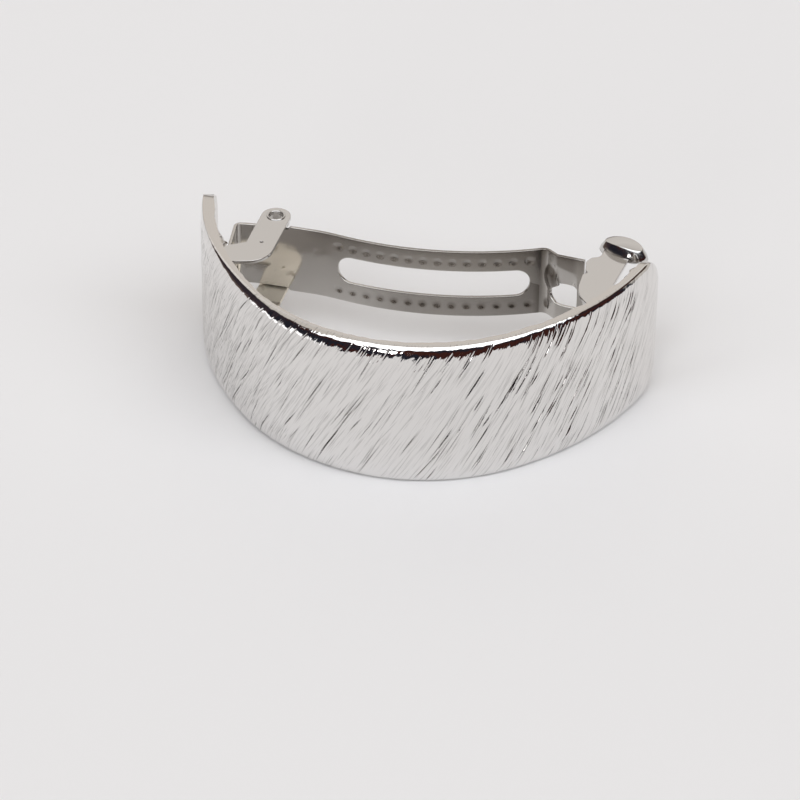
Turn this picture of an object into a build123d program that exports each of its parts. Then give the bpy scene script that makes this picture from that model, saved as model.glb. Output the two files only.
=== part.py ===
# Half-round ponytail clip, standing on one long edge of its plate.
# Millimetres. +X runs along the clip towards the catch, +Y from the plate back to the arm, +Z up.
# The origin is the middle of the flat land on the plate's lower edge. All plan positions below are
# written with y = 0 at the front of the plate; level() and upright() carry them to the origin.

import os
from math import asin, cos, degrees, radians, sin

from build123d import *

# Plate: a band bent to a tight front arc and two gentler side arcs
PLATE_HEIGHT = 21.0
PLATE_THICK = 1.8
FRONT_RADIUS = 27.2
FRONT_HALF_ANGLE = 43.0
SIDE_RADIUS = 42.4
SIDE_ANGLE = 38.0
CORNER_RADIUS = 4.5
CORNER_EASE = 0.03
EDGE_DEPTH = 0.8
EDGE_HEIGHT = 2.8

# Sheet metal of the fittings
SHEET = 0.5
ARM_SHEET = 0.45
SEAT_GAP = 0.06

# Hinge: its axis from the plate's left tip, the two hollow rivets and the two ears
HINGE_INSET = 9.46
HINGE_BACK = 1.97
RIVET_RADIUS = 1.06
RIVET_WALL = 0.14
RIVET_HEAD = 0.16
RIVET_HEAD_OVERHANG = 0.26
RIVET_COLLAR_OVERHANG = 0.16
RIVET_CLEARANCE = 0.06
EAR_WIDTH = 4.0
EAR_ELBOW_DROP = 10.8
EAR_ELBOW_RADIUS = 3.4
EAR_CROTCH_DROP = 7.25
HINGE_WEB_START_ANGLE = 62.5
HINGE_FOOT_START_ANGLE = 64.3
HINGE_FOOT_END_ANGLE = 69.5
HINGE_WEB_END_ANGLE = 74.6

# Arm: a shallow bow with its lowest point beside the middle
ARM_WIDTH = 10.2
NECK_STEP = 0.4
NECK_MARGIN = 0.25
LUG_GAP = 0.25
ARM_CLOSE = 0.69
ARM_APEX_X = -6.0
ARM_RADIUS = 44.0
ARM_LEFT_ANGLE = 8.93
ARM_RIGHT_ANGLE = 27.2
SHOULDER_RADIUS = 25.0
SHOULDER_FLAT = 5.63
HEEL_RADIUS = 21.0
HEEL_SWING_ANGLE = 11.0
HEEL_BEND = 0.5
HEEL_ANGLE = 278.0
HEEL_LENGTH = 5.4
LUG_WIDTH = 3.6
STEP_BEND = 0.6
STEP_ANGLE = 36.0
STEP_LENGTH = 1.25
TONGUE_ANGLE = 4.0
TONGUE_LENGTH = 3.75
END_NOTCH = 0.75
END_HOLLOW_RADIUS = 12.0
SLOT_LENGTH = 25.7
SLOT_WIDTH = 4.0
SLOT_X = 0.0
DIMPLE_COUNT = 14
DIMPLE_ROW = 3.4
DIMPLE_RADIUS = 0.45
DIMPLE_DEPTH = 0.14
WINDOW_HEIGHT = 4.9
WINDOW_LENGTH = 4.1
END_BAR = 0.75
FLAP_LENGTH = 2.2
FLAP_WIDTH = 2.7
FLAP_ANGLE = 20.0

# Catch: two wings, each with a notch, a tooth and a domed finger pad
WING_GAP = 0.25
WING_INSET = 10.3
WING_WIDTH = 4.2
WING_ELBOW_DROP = 7.4
WING_ELBOW_RADIUS = 6.0
WING_CROTCH_DROP = 3.0
WING_BACK = 3.6
WING_LEAN = 0.6
NOTCH_DROP = 1.0
NOTCH_HEIGHT = 2.2
NOTCH_DEPTH = 0.75
TOOTH_REACH = 0.35
TOOTH_HEIGHT = 1.8
NECK_INSET = 1.2
PAD_LENGTH = 6.9
PAD_DEPTH = 3.7
PAD_RISE = 1.75
PAD_ANGLE = -10.0
PAD_BACK = 5.75
PAD_SHIFT = 3.75
CATCH_WEB_START_ANGLE = 64.5
CATCH_FOOT_START_ANGLE = 66.3
CATCH_FOOT_END_ANGLE = 73.0
CATCH_WEB_END_ANGLE = 75.6

# Worked out from the sizes above
MID = PLATE_HEIGHT / 2
NECK_WIDTH = ARM_WIDTH - 2 * NECK_STEP
EAR_SPAN = NECK_WIDTH + 2 * (LUG_GAP + SHEET)
CATCH_SPAN = ARM_WIDTH + 2 * (WING_GAP + SHEET)
RIVET_TOP = MID + EAR_SPAN / 2 + RIVET_HEAD
RIVET_LOW = MID + NECK_WIDTH / 2 - ARM_SHEET - RIVET_CLEARANCE - RIVET_HEAD
LAND = PLATE_THICK - EDGE_DEPTH
ORIGIN_SHIFT = -(EDGE_DEPTH + LAND / 2)
EXTRA_RADIUS = SIDE_RADIUS - FRONT_RADIUS
SIDE_X = -EXTRA_RADIUS * sin(radians(FRONT_HALF_ANGLE))
SIDE_Y = FRONT_RADIUS + EXTRA_RADIUS * cos(radians(FRONT_HALF_ANGLE))
END_ANGLE = FRONT_HALF_ANGLE + SIDE_ANGLE


def side_point(heading, depth, side=1):
    """Plan point on a side arc, at a heading from the front and a depth below the outer face."""
    reach = SIDE_RADIUS - depth
    x = SIDE_X + reach * sin(radians(heading))
    return side * x, SIDE_Y - reach * cos(radians(heading))


def level(z):
    """Level plane at a height, with plan coordinates."""
    return Plane(origin=(0, ORIGIN_SHIFT, z), x_dir=(1, 0, 0), z_dir=(0, 0, 1))


def upright(x, y, heading):
    """Upright plane through a plan point, facing forwards at a heading: local x right, local y up."""
    angle = radians(heading)
    return Plane(
        origin=(x, y + ORIGIN_SHIFT, 0),
        x_dir=(cos(angle), sin(angle), 0),
        z_dir=(sin(angle), -cos(angle), 0),
    )


def across(x, y, heading):
    """Upright plane that cuts the plate square at a heading: local x outwards, local y up."""
    angle = radians(heading)
    return Plane(
        origin=(x, y + ORIGIN_SHIFT, 0),
        x_dir=(sin(angle), -cos(angle), 0),
        z_dir=(-cos(angle), -sin(angle), 0),
    )


TIP_X, TIP_Y = side_point(END_ANGLE, 0)
HINGE_X = -(TIP_X - HINGE_INSET)
HINGE_Y = TIP_Y + HINGE_BACK


def plate_section(radius):
    """The plate's section: flat inner face, outer face with elliptical long edges."""
    inner = radius - PLATE_THICK
    land = radius - EDGE_DEPTH
    top = PLATE_HEIGHT - EDGE_HEIGHT
    with BuildSketch() as section:
        with BuildLine():
            Polyline((land, 0), (inner, 0), (inner, PLATE_HEIGHT), (land, PLATE_HEIGHT))
            EllipticalCenterArc((land, top), EDGE_DEPTH, EDGE_HEIGHT, start_angle=0, arc_size=90)
            Line((radius, top), (radius, EDGE_HEIGHT))
            EllipticalCenterArc((land, EDGE_HEIGHT), EDGE_DEPTH, EDGE_HEIGHT, start_angle=270, arc_size=90)
        make_face()
    return section.sketch


# The right side arc is turned about its centre and mirrored, then the front arc joins the two
with BuildPart() as front_plate:
    with BuildSketch(across(SIDE_X, SIDE_Y, FRONT_HALF_ANGLE)):
        add(plate_section(SIDE_RADIUS))
    revolve(
        axis=Axis((SIDE_X, SIDE_Y + ORIGIN_SHIFT, 0), (0, 0, 1)),
        revolution_arc=SIDE_ANGLE,
    )
    mirror(about=Plane.YZ)
    with BuildSketch(across(0, FRONT_RADIUS, -FRONT_HALF_ANGLE)):
        add(plate_section(FRONT_RADIUS))
    revolve(
        axis=Axis((0, FRONT_RADIUS + ORIGIN_SHIFT, 0), (0, 0, 1)),
        revolution_arc=2 * FRONT_HALF_ANGLE,
    )

    # Rounded corners at both ends
    for side in (-1, 1):
        with BuildSketch(upright(side * TIP_X, TIP_Y, side * END_ANGLE)):
            with Locations((0, MID)):
                Rectangle(2 * CORNER_RADIUS, 2 * PLATE_HEIGHT)
            with Locations((side * (CORNER_EASE - 2 * CORNER_RADIUS), MID)):
                RectangleRounded(
                    4 * CORNER_RADIUS,
                    PLATE_HEIGHT + 2 * CORNER_EASE,
                    CORNER_RADIUS,
                    mode=Mode.SUBTRACT,
                )
        extrude(amount=2 * PLATE_THICK, both=True, mode=Mode.SUBTRACT)
front_plate.part.label = "front_plate"


# Hinge bracket: web on the plate, with a flat angled ear above and below
WEB_DEPTH = PLATE_THICK + SEAT_GAP + SHEET / 2
ear_front = side_point(HINGE_FOOT_START_ANGLE, WEB_DEPTH, -1)
ear_back = side_point(HINGE_FOOT_END_ANGLE, WEB_DEPTH, -1)
EAR_IN = HINGE_X + EAR_WIDTH / 2
EAR_OUT = HINGE_X - EAR_WIDTH / 2

with BuildSketch() as ear_outline:
    with BuildLine():
        Polyline(
            ear_front,
            (EAR_IN, HINGE_Y - EAR_ELBOW_DROP),
            (EAR_IN, HINGE_Y),
            (EAR_OUT, HINGE_Y),
            (EAR_OUT, HINGE_Y - EAR_CROTCH_DROP),
            ear_back,
            close=True,
        )
    make_face()
    elbow = ear_outline.vertices().sort_by_distance((EAR_IN, HINGE_Y - EAR_ELBOW_DROP))[0]
    fillet(elbow, EAR_ELBOW_RADIUS)
    with Locations((HINGE_X, HINGE_Y)):
        Circle(EAR_WIDTH / 2)
        Circle(RIVET_RADIUS + RIVET_CLEARANCE / 2, mode=Mode.SUBTRACT)

with BuildPart() as hinge_bracket:
    with BuildSketch(across(-SIDE_X, SIDE_Y, -HINGE_WEB_END_ANGLE)):
        with Locations((SIDE_RADIUS - WEB_DEPTH, MID)):
            Rectangle(SHEET, EAR_SPAN)
    revolve(
        axis=Axis((-SIDE_X, SIDE_Y + ORIGIN_SHIFT, 0), (0, 0, 1)),
        revolution_arc=HINGE_WEB_END_ANGLE - HINGE_WEB_START_ANGLE,
    )
    for z in (MID - EAR_SPAN / 2, MID + EAR_SPAN / 2 - SHEET):
        with BuildSketch(level(z)):
            add(ear_outline.sketch)
        extrude(amount=SHEET)
hinge_bracket.part.label = "hinge_bracket"

# Hinge rivets: a short tube through each ear and the arm's lug, with a rolled head and collar
with BuildPart() as hinge_rivet_top:
    with BuildSketch(level(RIVET_LOW)):
        with Locations((HINGE_X, HINGE_Y)):
            Circle(RIVET_RADIUS + RIVET_COLLAR_OVERHANG)
    extrude(amount=RIVET_HEAD)
    with BuildSketch(level(RIVET_LOW)):
        with Locations((HINGE_X, HINGE_Y)):
            Circle(RIVET_RADIUS)
    extrude(amount=RIVET_TOP - RIVET_LOW)
    with BuildSketch(level(RIVET_TOP - RIVET_HEAD)):
        with Locations((HINGE_X, HINGE_Y)):
            Circle(RIVET_RADIUS + RIVET_HEAD_OVERHANG)
    extrude(amount=RIVET_HEAD)
    with BuildSketch(level(RIVET_LOW)):
        with Locations((HINGE_X, HINGE_Y)):
            Circle(RIVET_RADIUS - RIVET_WALL)
    extrude(amount=RIVET_TOP - RIVET_LOW, mode=Mode.SUBTRACT)
hinge_rivet_top.part.label = "hinge_rivet_top"

with BuildPart() as hinge_rivet_bottom:
    add(mirror(hinge_rivet_top.part, about=level(MID)))
hinge_rivet_bottom.part.label = "hinge_rivet_bottom"

# Arm: one strip bent in plan, from the heel at the left to the stepped tongue at the right
ARM_APEX_Y = (
    HINGE_Y
    - RIVET_RADIUS
    - ARM_CLOSE
    - (ARM_RADIUS + SHOULDER_RADIUS) * (1 - cos(radians(ARM_LEFT_ANGLE)))
)
ARM_CENTRE_Y = ARM_APEX_Y + ARM_RADIUS


def arm_point(x, depth=0.0):
    """Plan point on the bowed part of the arm, at a depth behind its front face."""
    reach = ARM_RADIUS - depth
    swing = (x - ARM_APEX_X) / reach
    return x, ARM_CENTRE_Y - reach * (1 - swing * swing) ** 0.5


with BuildSketch() as arm_plan:
    with BuildLine() as arm_edge:
        apex = (ARM_APEX_X, ARM_APEX_Y)
        left_bow = JernArc(apex, (-1, 0), ARM_RADIUS, -ARM_LEFT_ANGLE)
        shoulder = JernArc(left_bow @ 1, left_bow % 1, SHOULDER_RADIUS, ARM_LEFT_ANGLE)
        flat = Line(shoulder @ 1, (shoulder @ 1) - (SHOULDER_FLAT, 0))
        heel = JernArc(flat @ 1, (-1, 0), HEEL_RADIUS, HEEL_SWING_ANGLE)
        bend = JernArc(heel @ 1, heel % 1, HEEL_BEND, HEEL_ANGLE - 180 - HEEL_SWING_ANGLE)
        leg = Line(bend @ 1, (bend @ 1) + (bend % 1) * HEEL_LENGTH)
        right_bow = JernArc(apex, (1, 0), ARM_RADIUS, ARM_RIGHT_ANGLE)
        turn_in = JernArc(
            right_bow @ 1, right_bow % 1, STEP_BEND + ARM_SHEET, -(ARM_RIGHT_ANGLE + STEP_ANGLE)
        )
        step = Line(turn_in @ 1, (turn_in @ 1) + (turn_in % 1) * STEP_LENGTH)
        turn_out = JernArc(step @ 1, step % 1, STEP_BEND, STEP_ANGLE - TONGUE_ANGLE)
        tongue = Line(turn_out @ 1, (turn_out @ 1) + (turn_out % 1) * TONGUE_LENGTH)
        offset(arm_edge.line, amount=ARM_SHEET, side=Side.RIGHT, kind=Kind.ARC, mode=Mode.REPLACE)
    make_face()

TONGUE_END = tongue @ 1
WINDOW_RIGHT = TONGUE_END.X - END_NOTCH - END_BAR
WINDOW_CENTRE = WINDOW_RIGHT - WINDOW_LENGTH + WINDOW_HEIGHT / 2
FLAP_TOP = MID + WINDOW_HEIGHT / 2
ARM_AT_HINGE = HINGE_Y - RIVET_RADIUS - ARM_CLOSE
DIMPLE_PITCH = (SLOT_LENGTH - DIMPLE_RADIUS) / (DIMPLE_COUNT - 1)

with BuildPart() as clip_arm:
    with BuildSketch(level(MID)):
        add(arm_plan.sketch)
    extrude(amount=ARM_WIDTH / 2, both=True)

    # Narrower neck between the ears, and the hollowed end edge of the tongue
    with BuildSketch(upright(0, TIP_Y, 0)):
        for z in (MID - ARM_WIDTH / 2, MID + ARM_WIDTH / 2):
            with Locations((EAR_IN + NECK_MARGIN - PLATE_HEIGHT / 2, z)):
                Rectangle(PLATE_HEIGHT, ARM_WIDTH - NECK_WIDTH)
        with Locations((TONGUE_END.X - END_NOTCH + END_HOLLOW_RADIUS, MID)):
            Circle(END_HOLLOW_RADIUS)
    extrude(amount=PLATE_HEIGHT, both=True, mode=Mode.SUBTRACT)

    # Long slot, and the window before the tongue's end bar
    with BuildSketch(upright(0, TIP_Y, 0)):
        with Locations((SLOT_X, MID)):
            SlotOverall(SLOT_LENGTH, SLOT_WIDTH)
        with Locations((WINDOW_CENTRE, MID)):
            Circle(WINDOW_HEIGHT / 2)
        with Locations(((WINDOW_CENTRE + WINDOW_RIGHT) / 2, MID)):
            Rectangle(WINDOW_RIGHT - WINDOW_CENTRE, WINDOW_HEIGHT)
    extrude(amount=PLATE_HEIGHT, both=True, mode=Mode.SUBTRACT)

    # Flap pressed forwards from the window's upper edge
    flap_x = cos(radians(FLAP_ANGLE)) * ARM_SHEET
    flap_z = sin(radians(FLAP_ANGLE)) * ARM_SHEET
    flap_y = TONGUE_END.Y + ARM_SHEET / 2
    flap_out = flap_y - FLAP_LENGTH * sin(radians(FLAP_ANGLE))
    flap_low = FLAP_TOP - FLAP_LENGTH * cos(radians(FLAP_ANGLE))
    flap_plane = Plane(
        origin=(WINDOW_RIGHT, ORIGIN_SHIFT, 0), x_dir=(0, 1, 0), z_dir=(-1, 0, 0)
    )
    with BuildSketch(flap_plane):
        with BuildLine():
            Polyline(
                (flap_y, -FLAP_TOP - ARM_SHEET),
                (flap_y, -FLAP_TOP),
                (flap_out, -flap_low),
                (flap_out + flap_x, -flap_low + flap_z),
                (flap_y + ARM_SHEET, -FLAP_TOP + flap_z),
                (flap_y + ARM_SHEET / 2, -FLAP_TOP - ARM_SHEET),
                close=True,
            )
        make_face()
    extrude(amount=FLAP_WIDTH)

    # Two lugs bent back beside the ears, each with a hole for its rivet
    for z in (MID - NECK_WIDTH / 2, MID + NECK_WIDTH / 2 - ARM_SHEET):
        with BuildSketch(level(z)):
            with Locations((HINGE_X, HINGE_Y)):
                Circle(LUG_WIDTH / 2)
            with Locations((HINGE_X, (ARM_AT_HINGE + ARM_SHEET / 2 + HINGE_Y) / 2)):
                Rectangle(LUG_WIDTH, HINGE_Y - ARM_AT_HINGE - ARM_SHEET / 2)
            with Locations((HINGE_X, HINGE_Y)):
                Circle(RIVET_RADIUS + RIVET_CLEARANCE, mode=Mode.SUBTRACT)
        extrude(amount=ARM_SHEET)

    # Two rows of shallow round dents beside the slot, pressed into the front face
    for number in range(DIMPLE_COUNT):
        x = SLOT_X + (number - (DIMPLE_COUNT - 1) / 2) * DIMPLE_PITCH
        dent_x, dent_y = arm_point(x, -DIMPLE_DEPTH)
        with BuildSketch(upright(dent_x, dent_y, degrees(asin((x - ARM_APEX_X) / ARM_RADIUS)))):
            with Locations((0, MID - DIMPLE_ROW), (0, MID + DIMPLE_ROW)):
                Circle(DIMPLE_RADIUS)
        extrude(amount=-2 * DIMPLE_DEPTH, mode=Mode.SUBTRACT)
clip_arm.part.label = "clip_arm"

# Catch bracket: web on the plate, with a notched wing above and below
WING_LEFT = TIP_X - WING_INSET
PAD_X = WING_LEFT + PAD_SHIFT
PAD_Y = TIP_Y + PAD_BACK
NOTCH_Y = TIP_Y - NOTCH_DROP
TOOTH_Y = NOTCH_Y + NOTCH_HEIGHT
catch_front = side_point(CATCH_FOOT_START_ANGLE, WEB_DEPTH)
catch_back = side_point(CATCH_FOOT_END_ANGLE, WEB_DEPTH)

with BuildSketch() as wing_outline:
    with BuildLine():
        Polyline(
            catch_front,
            (WING_LEFT, TIP_Y - WING_ELBOW_DROP),
            (WING_LEFT, NOTCH_Y),
            (WING_LEFT + NOTCH_DEPTH, NOTCH_Y + NOTCH_DEPTH / 2),
            (WING_LEFT + NOTCH_DEPTH, TOOTH_Y),
            (WING_LEFT - TOOTH_REACH, TOOTH_Y + TOOTH_HEIGHT / 2),
            (WING_LEFT + TOOTH_REACH / 2, TOOTH_Y + TOOTH_HEIGHT),
            (WING_LEFT + NECK_INSET, TIP_Y + WING_BACK),
            (WING_LEFT + NECK_INSET, PAD_Y),
            (WING_LEFT + WING_WIDTH + WING_LEAN, PAD_Y),
            (WING_LEFT + WING_WIDTH + WING_LEAN, TIP_Y + WING_BACK),
            (WING_LEFT + WING_WIDTH, TIP_Y - WING_CROTCH_DROP),
            catch_back,
            close=True,
        )
    make_face()
    elbow = wing_outline.vertices().sort_by_distance((WING_LEFT, TIP_Y - WING_ELBOW_DROP))[0]
    fillet(elbow, WING_ELBOW_RADIUS)

# Finger pad: half an ellipsoid of sheet metal, its hollow one sheet smaller all round
with BuildPart() as pad_dome:
    Sphere(PAD_LENGTH / 2, arc_size1=0, align=(Align.CENTER, Align.CENTER, Align.MIN))
    scale(by=(1, PAD_DEPTH / PAD_LENGTH, 2 * (PAD_RISE + SHEET) / PAD_LENGTH))

with BuildPart() as pad_hollow:
    Sphere(PAD_LENGTH / 2 - SHEET, arc_size1=0, align=(Align.CENTER, Align.CENTER, Align.MIN))
    scale(
        by=(
            1,
            (PAD_DEPTH - 2 * SHEET) / (PAD_LENGTH - 2 * SHEET),
            2 * PAD_RISE / (PAD_LENGTH - 2 * SHEET),
        )
    )

pad_place = Location(
    (PAD_X, PAD_Y + ORIGIN_SHIFT, MID + CATCH_SPAN / 2 - SHEET),
    (0, 0, PAD_ANGLE),
)

with BuildPart() as catch_bracket:
    with BuildSketch(across(SIDE_X, SIDE_Y, CATCH_WEB_START_ANGLE)):
        with Locations((SIDE_RADIUS - WEB_DEPTH, MID)):
            Rectangle(SHEET, CATCH_SPAN)
    revolve(
        axis=Axis((SIDE_X, SIDE_Y + ORIGIN_SHIFT, 0), (0, 0, 1)),
        revolution_arc=CATCH_WEB_END_ANGLE - CATCH_WEB_START_ANGLE,
    )
    with BuildSketch(level(MID + CATCH_SPAN / 2 - SHEET)):
        add(wing_outline.sketch)
    extrude(amount=SHEET)

    # Domed finger pad, hollow below
    add(pad_place * pad_dome.part)
    add(pad_place * pad_hollow.part, mode=Mode.SUBTRACT)
    mirror(about=level(MID))
catch_bracket.part.label = "catch_bracket"

os.makedirs("parts", exist_ok=True)
for piece in (
    front_plate,
    hinge_bracket,
    hinge_rivet_top,
    hinge_rivet_bottom,
    clip_arm,
    catch_bracket,
):
    print(piece.part.label, len(piece.part.solids()), round(piece.part.volume, 2))

export_step(front_plate.part, "parts/front_plate.step")
export_step(hinge_bracket.part, "parts/hinge_bracket.step")
export_step(hinge_rivet_top.part, "parts/hinge_rivet_top.step")
export_step(hinge_rivet_bottom.part, "parts/hinge_rivet_bottom.step")
export_step(clip_arm.part, "parts/clip_arm.step")
export_step(catch_bracket.part, "parts/catch_bracket.step")
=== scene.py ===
# %% [markdown]
# # A half-round ponytail clip in bright plate
# The clip stands on one long edge of its plate, on a pale table under a soft studio sky. Everything
# here is worked out in millimetres and handed to Blender in metres. The frame holds the clip's
# solids, and every new surface lies where its solid is. Only the relief, the worn edges and the
# outlines of the window, the wings and the pads differ from the solids, by half a millimetre or so.

# %% Load the frame
import math

import bmesh
import bpy
import numpy as np
from mathutils import Matrix, Vector
from mathutils.geometry import tessellate_polygon


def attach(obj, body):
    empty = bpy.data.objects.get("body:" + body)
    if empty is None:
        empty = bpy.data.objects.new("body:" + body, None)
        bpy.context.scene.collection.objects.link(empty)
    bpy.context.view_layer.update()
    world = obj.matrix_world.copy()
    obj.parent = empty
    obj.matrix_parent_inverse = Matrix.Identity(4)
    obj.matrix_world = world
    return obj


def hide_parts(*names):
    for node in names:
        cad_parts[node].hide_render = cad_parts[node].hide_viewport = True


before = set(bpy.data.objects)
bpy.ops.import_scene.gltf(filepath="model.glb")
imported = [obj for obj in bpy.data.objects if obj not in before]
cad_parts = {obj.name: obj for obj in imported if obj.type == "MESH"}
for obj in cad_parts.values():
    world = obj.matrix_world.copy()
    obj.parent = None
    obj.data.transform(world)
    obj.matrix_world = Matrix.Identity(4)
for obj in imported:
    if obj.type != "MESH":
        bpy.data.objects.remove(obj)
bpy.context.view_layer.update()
MM = 0.001
rng = np.random.default_rng(7)

# %% [markdown]
# ## Camera
# The photograph looks down on the clip by 34.5 degrees, from in front and a little to the right of
# it, through a long lens half a metre away. Two angles turn the view round the clip and roll it, and
# a small shift places it in the picture. Three unit vectors (right, up, back) make the matrix. The
# view could be set by hand too, but written angles can be fitted to a photograph and repeated.

# %% Camera
VIEW_DOWN, VIEW_ROUND, VIEW_ROLL = math.radians(34.5), 0.2679, 0.0058
DISTANCE, AIM_BACK, AIM_HEIGHT = 550.0, 15.0, 10.0
LENS, SENSOR = 189.3, 36.0
SHIFT_RIGHT, SHIFT_UP = 0.0411, -0.0617
PLAN_SHIFT = -1.3

turn = Matrix.Rotation(VIEW_ROUND, 3, "Z")
right = Vector((1, 0, 0))
up = Vector((0, math.sin(VIEW_DOWN), math.cos(VIEW_DOWN)))
back = right.cross(up)
place = Vector((0, AIM_BACK, AIM_HEIGHT)) + back * DISTANCE
axes = [
    turn @ (right * math.cos(VIEW_ROLL) + up * math.sin(VIEW_ROLL)),
    turn @ (up * math.cos(VIEW_ROLL) - right * math.sin(VIEW_ROLL)),
    turn @ back,
]
place = turn @ place + Vector((0, PLAN_SHIFT, 0))

camera_data = bpy.data.cameras.new("camera")
camera_data.lens = LENS
camera_data.sensor_width = SENSOR
camera_data.shift_x = SHIFT_RIGHT
camera_data.shift_y = SHIFT_UP
camera_data.clip_start = 0.05
camera = bpy.data.objects.new("camera", camera_data)
bpy.context.collection.objects.link(camera)
camera.matrix_world = Matrix.Translation(place * MM) @ Matrix(axes).transposed().to_4x4()
bpy.context.scene.camera = camera
bpy.context.scene.view_settings.view_transform = "Standard"
print("camera at", tuple(round(c, 3) for c in camera.location))

# %% [markdown]
# ## Small helpers for every material
# Colours are picked as sRGB hex values, as on a colour chart, and the shader wants them linear.
# Nodes could be placed and wired by hand in the shader editor. Here `add_node` puts one node into a
# tree and wires it, so that a material reads from top to bottom.

# %% Colour and node helpers
def linear(hex_colour):
    """sRGB hex to linear: c/12.92 below 0.04045, else ((c+0.055)/1.055) to the power 2.4."""
    c = np.array([int(hex_colour[i:i + 2], 16) for i in (1, 3, 5)]) / 255
    c = np.where(c <= 0.04045, c / 12.92, ((c + 0.055) / 1.055) ** 2.4)
    return (*(float(v) for v in c), 1.0)


def add_node(tree, kind, inputs=None, **settings):
    """Add a shader node, set its properties, and give each input a value or another node's output."""
    node = tree.nodes.new("ShaderNode" + kind)
    for key, value in settings.items():
        setattr(node, key, value)
    for key, value in (inputs or {}).items():
        if isinstance(value, bpy.types.NodeSocket):
            tree.links.new(value, node.inputs[key])
        else:
            node.inputs[key].default_value = value
    return node


# Settings that many nodes share: a smooth step instead of a straight one, and a mix of colours.
SMOOTH, COLOURS = {"interpolation_type": "SMOOTHSTEP"}, {"data_type": "RGBA"}

# %% [markdown]
# ## Studio sky
# Bright plate has hardly any colour of its own: it shows the room. In front, where the camera
# stands, the room is dark navy with brown patches up to 27 degrees, then comes a tall white softbox
# up to 68 degrees, then the beige ceiling. At both sides a dark brown panel hangs above a pale wall.
# At the far left it is dark up to 37 degrees, and between there and the front a white panel stands at
# the level of the table. Behind the clip there is only beige wall. Cards and lamps could stand round
# the clip, but a sky painted by direction puts each reflection exactly in its place. One colour ramp
# over the height of the direction (the sine of its angle above the horizon) paints each part, and
# soft masks by the compass direction join them. A small round lamp hangs low in front.

# %% Sky by direction
FRONT_SIDE = (0.380, -0.925, 0.0)
PANEL_SIDE = (-0.9037, -0.4282, 0.0)
LEFT_SIDE = (-0.9994, -0.0349, 0.0)
LAMP_SIDE, LAMP_OUTER, LAMP_INNER = (-0.051, -0.980, 0.191), math.radians(8.0), math.radians(6.8)
BRIGHTEST = 2.4
SOFTBOX = (0.95 * BRIGHTEST, 0.97 * BRIGHTEST, BRIGHTEST)
PANEL = (1.5, 1.5, 1.52)
LAMP = (2.0, 2.0, 2.0, 1)
BEIGE, BROWN, NAVY = "#cec8c1", "#3a221a", "#23242d"
ramps = {
    "front": [(0.0, NAVY), (0.455, "#26242b"), (0.485, SOFTBOX), (0.93, SOFTBOX), (0.96, BEIGE)],
    "side": [(0.0, "#cbc7c2"), (0.30, "#cbc5be"), (0.36, BROWN), (0.60, BROWN), (0.66, BEIGE)],
    "left": [(0.0, "#6a5c55"), (0.14, "#3b3136"), (0.60, "#2f2a31"), (0.68, BEIGE), (0.85, BEIGE)],
    "back": [(0.0, "#8f8b87"), (0.12, "#9b9691"), (0.26, "#e0dbd6"), (0.60, "#eae5e0"), (0.85, "#cfcac5")],
}
# Each mask rises from 0 to 1 between two cosines of the compass angle to its axis.
mask_limits = {
    "panel": (PANEL_SIDE, 0.92, 0.96), "left": (LEFT_SIDE, 0.89, 0.94), "side": (FRONT_SIDE, -0.75, -0.65),
    "front_high": (FRONT_SIDE, 0.27, 0.37), "front_low": (FRONT_SIDE, -0.12, 0.0),
}


def dimmed(colour):
    """A colour as a share of the brightest one, which a ramp can hold."""
    return (*(value / BRIGHTEST for value in colour[:3]), 1)


world = bpy.data.worlds.new("studio_sky")
bpy.context.scene.world = world
world.use_nodes = True
sky = world.node_tree
sky.nodes.clear()
ray = add_node(sky, "TexCoord").outputs["Generated"]
height = add_node(sky, "SeparateXYZ", {0: ray}).outputs["Z"]
level_ray = add_node(sky, "VectorMath", {0: ray, 1: (1, 1, 0)}, operation="MULTIPLY").outputs[0]
level_ray = add_node(sky, "VectorMath", {0: level_ray}, operation="NORMALIZE").outputs[0]
masks = {}
for part, (axis, low, high) in mask_limits.items():
    cosine = add_node(sky, "VectorMath", {0: level_ray, 1: axis}, operation="DOT_PRODUCT").outputs["Value"]
    masks[part] = add_node(sky, "MapRange", {0: cosine, 1: low, 2: high}, **SMOOTH).outputs[0]
painted = {}
for part, stops in ramps.items():
    node = add_node(sky, "ValToRGB", {0: height})
    for index, (position, colour) in enumerate(stops):
        stop = node.color_ramp.elements[index] if index < 2 else node.color_ramp.elements.new(position)
        stop.position = position
        stop.color = dimmed(linear(colour) if isinstance(colour, str) else colour)
    painted[part] = node.outputs[0]

below_softbox = add_node(sky, "MapRange", {0: height, 1: 0.46, 2: 0.43}, **SMOOTH).outputs[0]
patches = add_node(sky, "TexNoise", {"Vector": ray, "Scale": 3.1, "Detail": 1.5}).outputs[0]
patches = add_node(sky, "MapRange", {0: patches, 1: 0.46, 2: 0.58}, **SMOOTH).outputs[0]
brown = add_node(sky, "Math", {0: patches, 1: below_softbox}, operation="MULTIPLY").outputs[0]
dark_brown = dimmed(linear("#3f221d"))
front = add_node(sky, "Mix", {0: brown, 6: painted["front"], 7: dark_brown}, **COLOURS).outputs[2]
wide = {0: below_softbox, 2: masks["front_high"], 3: masks["front_low"]}
to_front = add_node(sky, "Mix", wide, data_type="FLOAT").outputs[0]
at_table = add_node(sky, "MapRange", {0: height, 1: 0.07, 2: 0.03}, **SMOOTH).outputs[0]
to_panel = add_node(sky, "Math", {0: masks["panel"], 1: at_table}, operation="MULTIPLY").outputs[0]
to_lamp = add_node(sky, "VectorMath", {0: ray, 1: LAMP_SIDE}, operation="DOT_PRODUCT").outputs["Value"]
lamp_rim = {0: to_lamp, 1: math.cos(LAMP_OUTER), 2: math.cos(LAMP_INNER)}
in_lamp = add_node(sky, "MapRange", lamp_rim, **SMOOTH).outputs[0]
room = painted["back"]
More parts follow.
